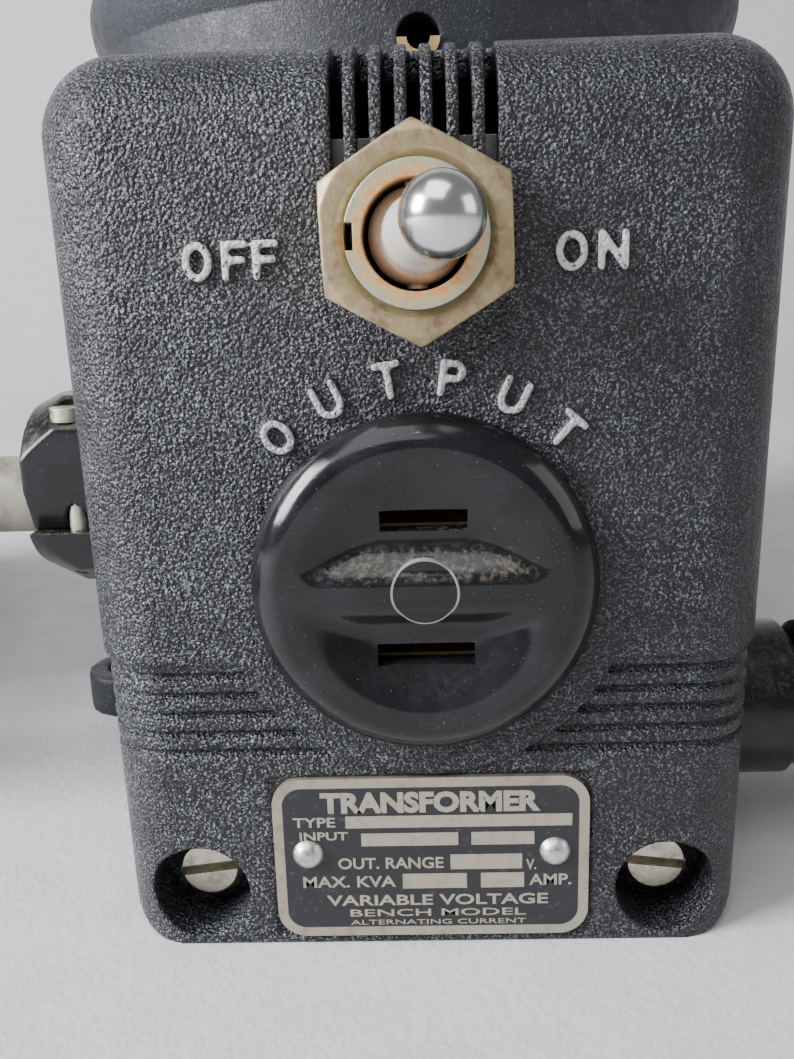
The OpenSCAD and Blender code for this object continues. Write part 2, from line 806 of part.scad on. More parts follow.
module fuse_cap() {
  x = fuse_wall_x + 10;
  color("#18191b") difference() {
    union() {
      sideways(x, fuse_y, fuse_z) cylinder(r1 = fuse_r - 1.2, r2 = fuse_r - 0.2, h = 1);
      sideways(x + 1, fuse_y, fuse_z) cylinder(r = fuse_r - 0.2, h = 9);
      sideways(x + 10, fuse_y, fuse_z) cylinder(r1 = fuse_r - 0.2, r2 = fuse_r - 1.4, h = 1.2);
      sideways(x - 5.4, fuse_y, fuse_z) cylinder(r = 4.9, h = 6);
    }
    sideways(x - 6, fuse_y, fuse_z) cylinder(r = 3.4, h = 5);
    for (a = [0:30:330]) sideways(x + 2.5, fuse_y, fuse_z) rotate(a)
      translate([fuse_r + 0.5, 0, 0]) cylinder(r = 1.2, h = 10);
    translate([x + 10, fuse_y - 0.6, fuse_z - 7]) cube([2, 1.2, 14]);
  }
}

module fuse_glass() {
  color("lightblue") sideways(14.2, fuse_y, fuse_z) difference() {
    cylinder(r = 2.9, h = 19.8);
    translate([0, 0, -1]) cylinder(r = 2.2, h = 22);
  }
}

module fuse_end_caps() {
  color("silver") for (x = [7.9, 34]) sideways(x, fuse_y, fuse_z) cylinder(r = 3.15, h = 6.3);
}

// ---------------------------------------------------------------- cord grip, on the left wall

// End view of the grip's upper half: flats that slope off to either side.
upper_flats = [
  [8.5, 0.6], [8.5, 7.3], [6.3, 9.6], [3.6, 10.5], [-3.6, 10.5], [-6.3, 9.6], [-8.5, 7.3],
  [-8.5, 0.6], [-6.3, -4.2], [6.3, -4.2]
];
lower_flats = [
  [8.2, -4.2], [-8.2, -4.2], [-8.2, -8.3], [-5.6, -10.3], [5.6, -10.3], [8.2, -8.3]
];

// Extrudes an end view from the wall out to the grip's end, with coned corners.
module grip_block(flats) {
  h = grip_wall_x - grip_end_x;
  intersection() {
    translate([grip_end_x, grip_y, grip_z]) rotate([90, 0, 90]) linear_extrude(h) polygon(flats);
    sideways(grip_end_x, grip_y, grip_z) cylinder(r1 = 9.3, r2 = 14.3, h = h);
  }
}

module grip_screw_holes(r) {
  for (sy = [-1, 1]) translate([-38.4, grip_y + sy * 6.3, grip_z - 9]) cylinder(r = r, h = 22);
}

module cord_grip_lower() {
  color("#1c1d20") difference() {
    union() {
      grip_block(lower_flats);
      sideways(-33.5, grip_y, cord_z) cylinder(r = 7.4, h = 8.5);
    }
    sideways(-50, grip_y, cord_z) cylinder(r = cord_r + grip_clearance, h = 40);
    grip_screw_holes(1.15);
    // The upper half sits on this half outside the wall.
    translate([-50, grip_y - 10, grip_z - 4.2]) cube([50 + grip_wall_x, 20, 20]);
  }
}

module cord_grip_upper() {
  color("#1c1d20") difference() {
    grip_block(upper_flats);
    sideways(-50, grip_y, cord_z) cylinder(r = cord_r + grip_clearance, h = 40);
    grip_screw_holes(1.3);
    for (sy = [-1, 1]) translate([-38.4, grip_y + sy * 6.3, grip_z + 8]) cylinder(r = 2.1, h = 9);
  }
}

module cord_grip_screws() {
  color("#d0cdc2") for (sy = [-1, 1]) translate([-38.4, grip_y + sy * 6.3, grip_z]) difference() {
    union() {
      translate([0, 0, 8]) cylinder(r = 1.95, h = 1.5);
      translate([0, 0, -8.8]) cylinder(r = 1.1, h = 17);
    }
    translate([-3, -0.25, 8.9]) cube([6, 0.5, 2]);
  }
}

module cord_grip_nut() {
  color("silver") sideways(-30, grip_y, cord_z) hex_nut(19, 3, 7.45);
}

// ---------------------------------------------------------------- leads and cord

lead_routes = [
  [[-20, grip_y, cord_z + 2], [-16, grip_y + 3, 50], [-11, grip_y + 2, 60], [-9, front_y + 25.5, 68]],
  [[-20, grip_y, cord_z - 2], [-18, grip_y + 2, 36], [-14, grip_y, 24], [-7.5, fuse_y, 17]],
  [[9, front_y + 25.5, 68], [11, grip_y + 8, 60], [9, -66, 50], [7, -56, 46], [5, -49.2, 44]],
  [[-4, front_y + 18.5, 46], [-6, grip_y + 8, 47], [-6, -66, 46], [-5, -56, 43], [-5, -49.2, 42]]
];

module lead_wires() {
  color("#7a6a3a") for (route = lead_routes) tube(curve(route, 4), 1.2, 8, [1, 0, 0]);
}

// Fibre bush in the lower part of the arched hole.
module lead_grommet() {
  color("#c9b98a") facing(0.8, -53.2, 97.2) difference() {
    intersection() {
      cylinder(r = 2.95, h = 2.9);
      translate([-4, -4, 0]) cube([8, 4, 3]);
    }
    translate([0, 0, -1]) cylinder(r = 1.6, h = 5);
  }
}

module cord() {
  color("#8c857a") tube(curve(cord_route, 3), cord_r, 12);
}

module cord_coil() {
  low = coil_low_z - cord_r;
  color("#8c857a") translate([coil_centre[0], coil_centre[1], 0]) rotate_extrude($fn = 96) {
    translate([coil_r - cord_r, coil_low_z]) square([cord_d, coil_turns * cord_d - cord_d]);
    translate([coil_r, low + cord_r]) circle(r = cord_r, $fn = 24);
    translate([coil_r, low + coil_turns * cord_d - cord_r]) circle(r = cord_r, $fn = 24);
  }
}

module cord_end() {
  color("#8c857a") tube(curve(cord_end_route, 3), cord_r, 12);
}

// Flat strap round all the turns, on the side away from the box.
module cord_tie() {
  h = coil_turns * cord_d;
  color("#3a3a3c") translate([coil_centre[0] - coil_r, coil_centre[1] - 4, 0]) difference() {
    translate([-cord_r - 1.6, 0, 0]) cube([cord_d + 3.2, 8, h + 2]);
    translate([-cord_r - 0.6, -1, 0.95]) cube([cord_d + 1.2, 10, h + 0.1]);
  }
}

module plug_body() {
  color("#17181a") translate(plug_at) rotate([0, 0, plug_turn]) rotate([0, 90, 0]) difference() {
    union() {
      cylinder(r1 = 6, r2 = 7.5, h = 10);
      translate([0, 0, 10]) cylinder(r1 = 7.5, r2 = 12.9, h = 6);
      translate([0, 0, 16]) cylinder(r = 12.9, h = 14);
      translate([0, 0, 30]) cylinder(r1 = 12.9, r2 = 12.2, h = 0.8);
    }
    for (s = [-1, 1]) translate([-3.2, s * blade_pitch / 2 - 0.76, 20]) cube([6.4, 1.52, 12]);
  }
}

module plug_blades() {
  color("#c8b060") translate(plug_at) rotate([0, 0, plug_turn]) rotate([0, 90, 0])
    for (s = [-1, 1]) difference() {
      translate([-3.175, s * blade_pitch / 2 - 0.75, 20.2]) cube([6.35, 1.5, 28.4]);
      translate([0, s * blade_pitch / 2 + 2, 43.5]) rotate([90, 0, 0]) cylinder(r = 1.6, h = 4);
    }
}

base_casting();
housing();
dial_plate();
dial_pins();
upper_bearing();
lower_bearing();
core();
core_insulator_lower();
core_insulator_upper();
winding();
commutator_track();
core_pad_lower();
core_pad_upper();
core_clamp();
clamp_bolts();
stop_pin();
box_cover();
cover_screws();
nameplate();
nameplate_rivets();
outlet_body();
outlet_contacts();
outlet_retainer();
outlet_screws();
switch_bushing();
switch_nut();
switch_back_nut();
switch_frame();
switch_body();
switch_terminals();
switch_lever();
fuse_holder_body();
fuse_holder_nut();
fuse_holder_tag();
fuse_lock_ring();
fuse_cap();
fuse_glass();
fuse_end_caps();
cord_grip_lower();
cord_grip_upper();
cord_grip_screws();
cord_grip_nut();
lead_wires();
lead_grommet();
cord();
cord_coil();
cord_end();
cord_tie();
plug_body();
plug_blades();
shaft();
shaft_collar();
knob();
knob_screw();
brush_arm();
brush_arm_screw();
brush_holder();
brush_spring();
brush();
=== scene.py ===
"""Looks of the bench variable autotransformer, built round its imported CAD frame.

Metres, in the part's own frame: the shaft's axis is x = y = 0, +Z is up and the terminal
box faces -Y.  Named sizes are millimetres times MM, except where a comment says that they
are plain millimetres or degrees.
"""

import json
import math

import bmesh
import bpy
from mathutils import Matrix, Vector


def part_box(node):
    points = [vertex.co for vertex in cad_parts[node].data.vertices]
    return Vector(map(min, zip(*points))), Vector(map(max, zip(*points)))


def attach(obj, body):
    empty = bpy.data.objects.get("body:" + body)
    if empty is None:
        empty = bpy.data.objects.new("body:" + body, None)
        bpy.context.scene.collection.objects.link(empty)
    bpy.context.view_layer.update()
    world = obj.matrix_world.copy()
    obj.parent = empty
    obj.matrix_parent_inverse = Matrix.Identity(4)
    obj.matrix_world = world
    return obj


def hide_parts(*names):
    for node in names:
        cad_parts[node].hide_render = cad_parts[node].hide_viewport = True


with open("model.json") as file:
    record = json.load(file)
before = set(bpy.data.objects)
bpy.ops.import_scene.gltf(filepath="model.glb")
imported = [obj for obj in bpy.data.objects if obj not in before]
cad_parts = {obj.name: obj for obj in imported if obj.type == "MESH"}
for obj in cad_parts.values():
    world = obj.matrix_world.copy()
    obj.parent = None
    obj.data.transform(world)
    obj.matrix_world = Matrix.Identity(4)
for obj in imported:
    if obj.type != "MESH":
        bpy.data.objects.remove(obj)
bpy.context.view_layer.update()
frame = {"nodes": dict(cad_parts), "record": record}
nodes = frame["nodes"]

MM = 0.001
WORDS_PROUD = 0.5 * MM
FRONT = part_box("box_cover")[0].y + WORDS_PROUD


def centre(node):
    low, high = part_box(node)
    return (low + high) / 2


SWITCH = centre("switch_nut")
OUTLET = centre("outlet_body")
PLATE = centre("nameplate")
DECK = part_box("dial_plate")[1].z


# ---------------------------------------------------------------- camera

CAMERA_REACH = 88.27 * MM
CAMERA_X = 0.08 * MM
CAMERA_HEIGHT = 65.74 * MM
CAMERA_PITCH = math.radians(14.12)
CAMERA_YAW = math.radians(-1.62)
CAMERA_ROLL = math.radians(-1.74)
CAMERA_LENS = 45.34


def make_camera():
    data = bpy.data.cameras.new("camera")
    data.sensor_fit = "HORIZONTAL"
    data.sensor_width = 36.0
    data.lens = CAMERA_LENS
    data.clip_start = 0.004
    data.clip_end = 20.0
    camera = bpy.data.objects.new("camera", data)
    bpy.context.scene.collection.objects.link(camera)
    level = Vector((math.sin(CAMERA_YAW), math.cos(CAMERA_YAW), 0.0))
    ahead = level * math.cos(CAMERA_PITCH) - Vector((0.0, 0.0, math.sin(CAMERA_PITCH)))
    right = Vector((level.y, -level.x, 0.0))
    up = right.cross(ahead)
    tilted_right = right * math.cos(CAMERA_ROLL) + up * math.sin(CAMERA_ROLL)
    tilted_up = up * math.cos(CAMERA_ROLL) - right * math.sin(CAMERA_ROLL)
    turn = Matrix((tilted_right, tilted_up, -ahead)).transposed()
    place = Matrix.Translation((CAMERA_X, FRONT - CAMERA_REACH, CAMERA_HEIGHT))
    camera.matrix_world = place @ turn.to_4x4()
    bpy.context.scene.camera = camera


make_camera()


# ---------------------------------------------------------------- cord

CORD_D = 9 * MM
COIL_X = -148 * MM
COIL_Y = -36 * MM
COIL_R = 48 * MM
COIL_LOW = 5.5 * MM
# Degrees that the coil winds through, and the last part of each turn, over which it climbs.
COIL_WOUND = 1710
COIL_CLIMB = 75

# Millimetres.
CORD_ROUTE = [
    (-22, -88.6, 42.4), (-32, -88.6, 42.4), (-46, -88.6, 42.4), (-56, -88.6, 42),
    (-67, -88.8, 39), (-78, -88.8, 32.5), (-89, -88, 24), (-100, -87, 16.5), (-111, -86, 10.5),
    (-123, -85, 6.8), (-135, -84.3, 5.5), (-148, -84, 5.5),
]
CORD_END_ROUTE = [
    (-100, -36, 41.5), (-100, -49.5, 40.2), (-100, -63, 36.7), (-102.1, -76, 31.9),
    (-108.4, -88.2, 26.2), (-117.9, -97.4, 20.9), (-129, -102.9, 16.7), (-142, -105, 13.8),
    (-152, -105, 13),
]


def through(points, steps=3):
    """Points along a smooth curve through the given ones (Catmull-Rom)."""
    found = []
    for i in range(len(points) - 1):
        a = points[max(i - 1, 0)]
        b = points[i]
        c = points[i + 1]
        d = points[min(i + 2, len(points) - 1)]
        for step in range(steps):
            t = step / steps
            bend = 2 * a - 5 * b + 4 * c - d
            found.append(0.5 * (2 * b + (c - a) * t + bend * t * t + (3 * b - a - 3 * c + d) * t ** 3))
    return found + [points[-1]]


def coil_points():
    """Turns that lie flat on each other; each climbs a cord's width over its last part."""
    step = 15
    found = []
    for progress in range(step, COIL_WOUND, step):
        turn, along = divmod(progress, 360)
        climb = max(0.0, (along - (360 - COIL_CLIMB)) / COIL_CLIMB)
        rise = (1 - math.cos(math.pi * climb)) / 2
        angle = math.radians(-90 - progress)
        found.append(Vector((
            COIL_X + COIL_R * math.cos(angle),
            COIL_Y + COIL_R * math.sin(angle),
            COIL_LOW + CORD_D * (turn + rise),
        )))
    return found


def make_cord():
    start = through([Vector(p) * MM for p in CORD_ROUTE])
    end = through([Vector(p) * MM for p in CORD_END_ROUTE])
    points = start + coil_points() + end
    data = bpy.data.curves.new("supply_cord", "CURVE")
    data.dimensions = "3D"
    data.bevel_depth = 1.0
    data.bevel_resolution = 6
    data.use_fill_caps = True
    spline = data.splines.new("POLY")
    spline.points.add(len(points) - 1)
    for dot, point in zip(spline.points, points):
        dot.co = (*point, 1.0)
        dot.radius = CORD_D / 2
    spline.use_smooth = True
    cord = bpy.data.objects.new("supply_cord", data)
    bpy.context.scene.collection.objects.link(cord)
    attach(cord, "frame")
    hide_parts("cord", "cord_coil", "cord_end")
    length = sum((b - a).length for a, b in zip(points, points[1:]))
    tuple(points[0])
    return cord


cord = make_cord()


# ---------------------------------------------------------------- materials

class Surface:
    """One procedural material.  Patterns follow the object, and their sizes are in millimetres."""

    def __init__(self, name, color, roughness, metallic=0.0, specular=0.5):
        self.material = bpy.data.materials.new(name)
        self.material.use_nodes = True
        self.tree = self.material.node_tree
        self.shader = self.tree.nodes["Principled BSDF"]
        self.shader.inputs["Base Color"].default_value = (*color, 1.0)
        self.shader.inputs["Roughness"].default_value = roughness
        self.shader.inputs["Metallic"].default_value = metallic
        self.shader.inputs["Specular IOR Level"].default_value = specular
        coords = self.add("ShaderNodeTexCoord").outputs["Object"]
        scale = self.add("ShaderNodeVectorMath", operation="SCALE")
        self.tree.links.new(coords, scale.inputs[0])
        scale.inputs["Scale"].default_value = 1 / MM
        self.mm = scale.outputs[0]
        self.axes = None
        self.normal = None

    def add(self, kind, **settings):
        node = self.tree.nodes.new(kind)
        for key, value in settings.items():
            setattr(node, key, value)
        return node

    def feed(self, socket, value):
        """Joins a socket to another, or sets its number or colour."""
        if isinstance(value, bpy.types.NodeSocket):
            self.tree.links.new(value, socket)
        elif isinstance(value, (tuple, list)) and socket.type == "RGBA":
            socket.default_value = (*value, 1.0)
        else:
            socket.default_value = value

    def axis(self, name):
        if self.axes is None:
            self.axes = self.add("ShaderNodeSeparateXYZ")
            self.tree.links.new(self.mm, self.axes.inputs[0])
        return self.axes.outputs[name]

    def stretched(self, x, y, z):
        node = self.add("ShaderNodeVectorMath", operation="MULTIPLY")
        self.tree.links.new(self.mm, node.inputs[0])
        node.inputs[1].default_value = (x, y, z)
        return node.outputs[0]

    def noise(self, size, detail=2.0, rough=0.55, twist=0.0, along=None):
        node = self.add("ShaderNodeTexNoise")
        self.tree.links.new(along or self.mm, node.inputs["Vector"])
        node.inputs["Scale"].default_value = 1 / size
        node.inputs["Detail"].default_value = detail
        node.inputs["Roughness"].default_value = rough
        node.inputs["Distortion"].default_value = twist
        return node.outputs["Fac"]

    def cells(self, size, spread=1.0):
        node = self.add("ShaderNodeTexVoronoi", feature="SMOOTH_F1")
        self.tree.links.new(self.mm, node.inputs["Vector"])
        node.inputs["Scale"].default_value = 1 / size
        node.inputs["Smoothness"].default_value = 0.4
        node.inputs["Randomness"].default_value = spread
        return node.outputs["Distance"]

    def calc(self, operation, a, b=0.0, c=0.0):
        node = self.add("ShaderNodeMath", operation=operation)
        for socket, value in zip(node.inputs, (a, b, c)):
            self.feed(socket, value)
        return node.outputs[0]

    def span(self, value, low, high, start=0.0, end=1.0):
        """start below low, end above high, and a smooth step between."""
        node = self.add("ShaderNodeMapRange", interpolation_type="SMOOTHSTEP")
        self.feed(node.inputs["Value"], value)
        node.inputs["From Min"].default_value = low
        node.inputs["From Max"].default_value = high
        node.inputs["To Min"].default_value = start
        node.inputs["To Max"].default_value = end
        return node.outputs[0]

    def mix(self, factor, a, b):
        node = self.add("ShaderNodeMix", data_type="RGBA")
        self.feed(node.inputs[0], factor)
        self.feed(node.inputs[6], a)
        self.feed(node.inputs[7], b)
        return node.outputs[2]

    def times(self, *values):
        found = values[0]
        for value in values[1:]:
            found = self.calc("MULTIPLY", found, value)
        return found

    def paint(self, value):
        self.feed(self.shader.inputs["Base Color"], value)

    def gloss(self, value):
        self.feed(self.shader.inputs["Roughness"], value)

    def metal(self, value):
        self.feed(self.shader.inputs["Metallic"], value)

    def soften(self, radius):
        """Rounds sharp edges in the light, by a radius in millimetres."""
        node = self.add("ShaderNodeBevel", samples=4)
        node.inputs["Radius"].default_value = radius * MM
        self.normal = node.outputs["Normal"]

    def bump(self, height, depth, strength=1.0):
        node = self.add("ShaderNodeBump")
        node.inputs["Strength"].default_value = strength
        node.inputs["Distance"].default_value = depth * MM
        self.feed(node.inputs["Height"], height)
        if self.normal is not None:
            self.tree.links.new(self.normal, node.inputs["Normal"])
        self.normal = node.outputs["Normal"]

    def facing_up(self, low=0.15, high=0.6):
        normal = self.add("ShaderNodeNewGeometry").outputs["Normal"]
        split = self.add("ShaderNodeSeparateXYZ")
        self.tree.links.new(normal, split.inputs[0])
        return self.span(split.outputs["Z"], low, high)

    def radius_from(self, point, axes):
        """Distance in millimetres from a point, along the named axes."""
        total = None
        for name in axes:
            offset = self.calc("SUBTRACT", self.axis(name), getattr(point, name.lower()) / MM)
            square = self.calc("MULTIPLY", offset, offset)
            total = square if total is None else self.calc("ADD", total, square)
        return self.calc("SQRT", total)

    def done(self):
        if self.normal is not None:
            self.tree.links.new(self.normal, self.shader.inputs["Normal"])
        return self.material


BLACK = (0.012, 0.012, 0.014)
# Turns of wire show as ripples round the axis: radians of ripple per radian round it.
WIRE_RIPPLES = 190.0


def pebble_enamel():
    """Black pebble-grained enamel with painted glints on its grains, and raised words rubbed bare on top."""
    s = Surface("pebble_enamel", BLACK, 0.36, specular=0.4)
    grain = s.cells(0.36)
    fine = s.noise(0.2, 2.0, 0.6)
    # The pale specks are painted glints: painted highlights of the window light on the grains, in random
    # patches and denser towards -X, where the window is.
    glints_and_wear = s.span(s.noise(0.21, 2.0, 0.65), 0.55, 0.61)
    patch = s.span(s.noise(6.0, 3.0, 0.6), 0.34, 0.60, 0.45, 1.0)
    side = s.span(s.axis("X"), -50, 45, 1.0, 0.4)
    painted_glints = s.times(glints_and_wear, patch, side)
    ground = s.mix(s.span(s.noise(9.0, 3.0), 0.3, 0.7), (0.006, 0.006, 0.007), (0.012, 0.012, 0.014))
    proud = s.calc("SUBTRACT", FRONT / MM, s.axis("Y"))
    tops = s.times(s.span(proud, 0.28, 0.38), s.span(s.noise(0.5, 3.0, 0.7), 0.32, 0.46))
    upper = s.span(s.axis("Z"), 61, 62)
    bare = s.mix(upper, (0.40, 0.41, 0.41), (0.56, 0.56, 0.52))
    # Bluish painted glints over the random dark ground, and the bare tops of the raised words over both.
    s.paint(s.mix(tops, s.mix(painted_glints, ground, (0.24, 0.25, 0.285)), bare))
    s.gloss(s.span(s.noise(2.5, 3.0), 0.3, 0.7, 0.24, 0.38))
    height = s.calc("SUBTRACT", s.calc("MULTIPLY", fine, 0.7), grain)
    s.bump(height, 0.2, 1.0)
    return s.done()


def wrinkle_enamel():
    """Matt black wrinkle enamel of the housing and its base, with painted glints on its grains."""
    s = Surface("wrinkle_enamel", BLACK, 0.5, specular=0.4)
    s.soften(0.5)
    wrinkle = s.noise(0.6, 3.0, 0.6, 1.2)
    # Pale bluish specks are painted glints: painted highlights of the window light on the wrinkle grains.
    glints_and_wear = s.span(s.noise(0.4, 2.0, 0.6), 0.62, 0.70)
    ground = s.mix(s.span(s.noise(14.0, 3.0), 0.3, 0.7), (0.012, 0.012, 0.016), (0.026, 0.028, 0.034))
    s.paint(s.mix(s.times(glints_and_wear, 0.5), ground, (0.18, 0.19, 0.21)))
    s.gloss(s.span(s.noise(3.0), 0.3, 0.7, 0.40, 0.56))
    s.bump(wrinkle, 0.18, 0.8)
    return s.done()


def bakelite(name="bakelite", glints_and_wear=0.0, dusty_r=None):
    """Black phenolic: glossy, scratched, with dust lying on what faces up.

    dusty_r is for the outlet: dust stays within that many millimetres of its axis and above
    its bar, and a pale line runs round its boss.
    """
    s = Surface(name, BLACK, 0.14, specular=0.4)
    if glints_and_wear:
        s.soften(0.35)
    scratches = s.span(s.noise(1.0, 3.0, 0.7, 0.6, s.stretched(0.35, 0.35, 3.2)), 0.66, 0.74)
    dust = s.times(s.facing_up(0.12, 0.6), s.span(s.noise(0.7, 4.0, 0.75), 0.44, 0.66), 1 - 0.5 * glints_and_wear)
    if dusty_r:
        radius = s.radius_from(OUTLET, "XZ")
        above = s.span(s.axis("Z"), OUTLET.z / MM - 1.0, OUTLET.z / MM + 0.6, 0.12, 1.0)
        dust = s.times(dust, above, s.span(radius, dusty_r - 1.5, dusty_r, 1.0, 0.0))
    specks = s.span(s.noise(0.2, 1.0), 0.74, 0.78)
    ground = s.mix(s.span(s.noise(5.0, 3.0), 0.35, 0.7), (0.006, 0.006, 0.007), (0.013, 0.013, 0.015))
    dusted = s.mix(s.times(dust, 0.6), ground, (0.17, 0.15, 0.115))
    marks = s.calc("MAXIMUM", s.times(specks, 0.3), s.times(scratches, 0.08 + 0.08 * glints_and_wear))
    if dusty_r:
        off_line = s.calc("ABSOLUTE", s.calc("SUBTRACT", radius, BOSS_R))
        marks = s.calc("MAXIMUM", marks, s.span(off_line, 0.05, 0.14, 0.7, 0.0))
    s.paint(s.mix(marks, dusted, (0.36, 0.36, 0.35)))
    base = s.span(s.noise(3.0, 3.0), 0.3, 0.75, 0.10 + 0.10 * glints_and_wear, 0.20 + 0.12 * glints_and_wear)
    s.gloss(s.calc("MAXIMUM", base, s.times(dust, 0.6)))
    s.bump(s.noise(2.2, 2.0), 0.04, 0.4)
    return s.done()


def metal(name, color, roughness, stain=(0.2, 0.18, 0.14), amount=0.5, size=2.5, grain=0.02):
    """Plated or drawn metal with dull stains and fine handling marks."""
    s = Surface(name, color, roughness, 1.0)
    s.soften(0.12)
    stains = s.times(s.span(s.noise(size, 4.0, 0.7), 0.45, 0.7), amount)
    s.paint(s.mix(stains, color, stain))
    s.gloss(s.span(s.noise(size * 0.4, 3.0, 0.7), 0.3, 0.75, roughness * 0.75, roughness * 1.5))
    s.bump(s.noise(0.35, 3.0, 0.7, 0.3, s.stretched(1.0, 1.0, 4.0)), grain, 0.6)
    return s.done()


def tarnished_bronze():
    """Nut and bushing of the switch: tan tarnish, rust where the lever comes through."""
    s = Surface("tarnished_bronze", (0.35, 0.29, 0.19), 0.42, 1.0)
    s.soften(0.25)
    radius = s.radius_from(SWITCH, "XZ")
    ragged = s.calc("ADD", radius, s.calc("MULTIPLY", s.noise(1.4, 3.0, 0.7), 3.0))
    rust = s.times(s.span(ragged, 6.4, 7.6, 1.0, 0.0), s.span(s.noise(0.7, 3.0, 0.7), 0.3, 0.6))
    brown = s.span(s.noise(2.4, 4.0, 0.7), 0.48, 0.70)
    tan = s.mix(s.times(brown, 0.7), (0.38, 0.29, 0.165), (0.17, 0.115, 0.058))
    pale = s.mix(s.span(s.noise(1.1, 3.0), 0.5, 0.7, 0.0, 0.6), tan, (0.46, 0.395, 0.26))
    ring = s.span(radius, 6.05, 6.2, 1.0, 0.0)
    cream = s.mix(ring, pale, (0.45, 0.455, 0.33))
    s.paint(s.mix(rust, cream, (0.56, 0.24, 0.05)))
    s.metal(s.calc("MULTIPLY", s.span(rust, 0.1, 0.6, 1.0, 0.1), s.span(ring, 0.2, 0.8, 0.55, 0.45)))
    s.gloss(s.calc("MAXIMUM", s.span(s.noise(1.0, 3.0), 0.3, 0.7, 0.34, 0.52), s.times(rust, 0.8)))
    s.bump(s.noise(0.5, 4.0, 0.7), 0.08, 0.7)
    return s.done()


def lever_nickel():
    """Bright nickel of the switch's lever, rusty round its ball joint."""
    s = Surface("nickel", (0.70, 0.69, 0.66), 0.1, 1.0)
    pivot = Vector((0, FRONT - 0.5 * MM, SWITCH.z))
    radius = s.radius_from(pivot, "XYZ")
    ragged = s.calc("ADD", radius, s.calc("MULTIPLY", s.noise(1.0, 3.0, 0.7), 1.6))
    rust = s.span(ragged, 4.3, 5.2, 1.0, 0.0)
    dull = s.span(radius, 8.6, 9.4, 1.0, 0.0)
    cone = s.mix(s.span(s.noise(0.9, 3.0, 0.7), 0.5, 0.75, 0.0, 0.3), (0.74, 0.74, 0.71), (0.50, 0.47, 0.38))
    ball = s.mix(s.span(s.noise(1.2, 3.0), 0.55, 0.8, 0.0, 0.35), (0.72, 0.71, 0.68), (0.45, 0.42, 0.38))
    s.paint(s.mix(rust, s.mix(dull, ball, cone), (0.66, 0.32, 0.07)))
    bright = s.calc("SUBTRACT", 1.0, s.times(dull, 0.6))
    s.metal(s.calc("MULTIPLY", bright, s.span(rust, 0.2, 0.8, 1.0, 0.1)))
    base = s.mix(dull, (0.20, 0.20, 0.20), (0.34, 0.34, 0.34))
    s.gloss(s.calc("MAXIMUM", base, s.times(rust, 0.75)))
    s.bump(s.noise(0.4, 3.0), 0.02, 0.35)
    return s.done()


def plate_face(name, border):
    """Etched nameplate: black ground inside a bare rounded border."""
    s = Surface(name, (0.02, 0.02, 0.024), 0.4)
    low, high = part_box("nameplate")
    corner = 2.9
    half = ((high.x - low.x) / 2 / MM - corner, (high.z - low.z) / 2 / MM - corner)
    across = s.calc("ABSOLUTE", s.calc("SUBTRACT", s.axis("X"), PLATE.x / MM))
    up = s.calc("ABSOLUTE", s.calc("SUBTRACT", s.axis("Z"), PLATE.z / MM))
    out_x = s.calc("MAXIMUM", s.calc("SUBTRACT", across, half[0]), 0.0)
    out_z = s.calc("MAXIMUM", s.calc("SUBTRACT", up, half[1]), 0.0)
    square = s.calc("ADD", s.calc("MULTIPLY", out_x, out_x), s.calc("MULTIPLY", out_z, out_z))
    edge = s.span(s.calc("SQRT", square), corner - border - 0.05, corner - border + 0.05)
    stains = s.span(s.noise(1.6, 4.0, 0.7), 0.45, 0.7, 0.0, 0.6)
    bare = s.mix(stains, (0.42, 0.385, 0.31), (0.27, 0.21, 0.12))
    ground = s.mix(s.span(s.noise(0.7, 4.0, 0.7), 0.55, 0.75), (0.014, 0.014, 0.018), (0.06, 0.055, 0.05))
    s.paint(s.mix(edge, ground, bare))
    s.metal(s.calc("MULTIPLY", edge, 0.7))
    s.gloss(s.span(edge, 0.2, 0.8, 0.42, 0.34))
    s.bump(s.noise(0.5, 3.0), 0.02, 0.4)
    return s.done()


def legend():
    """Bare metal of the nameplate's letters and value boxes."""
    s = Surface("legend", (0.42, 0.385, 0.31), 0.36, 0.6)
    stains = s.span(s.noise(1.1, 4.0, 0.7), 0.45, 0.72, 0.0, 0.5)
    s.paint(s.mix(stains, (0.43, 0.395, 0.32), (0.26, 0.225, 0.17)))
    s.gloss(s.span(s.noise(1.5, 2.0), 0.3, 0.7, 0.3, 0.5))
    s.bump(s.noise(0.4, 2.0), 0.01, 0.3)
    return s.done()


def jacket():
    """Weathered grey-brown jacket of the supply cord."""
    s = Surface("cord_rubber", (0.3, 0.27, 0.22), 0.6)
    dirt = s.span(s.noise(5.0, 5.0, 0.7), 0.4, 0.68)
    scuffs = s.span(s.noise(0.8, 4.0, 0.75), 0.58, 0.70)
    body = s.mix(dirt, (0.29, 0.27, 0.225), (0.15, 0.13, 0.10))
    s.paint(s.mix(s.times(scuffs, 0.5), body, (0.29, 0.275, 0.235)))
    s.gloss(s.span(s.noise(2.0, 3.0), 0.3, 0.7, 0.42, 0.68))
    s.bump(s.noise(0.6, 3.0, 0.7), 0.08, 0.6)
    return s.done()


def matt(name, color, other, roughness=0.8, size=0.8, depth=0.1):
    """Plain fibrous or moulded stuff: felt, fibre, rubber, carbon."""
    s = Surface(name, color, roughness)
    s.paint(s.mix(s.span(s.noise(size, 4.0, 0.7), 0.35, 0.68), color, other))
    s.gloss(s.span(s.noise(size * 2, 2.0), 0.3, 0.7, roughness * 0.85, min(roughness * 1.1, 1.0)))
    s.bump(s.noise(size * 0.6, 3.0, 0.7), depth, 0.6)
    return s.done()


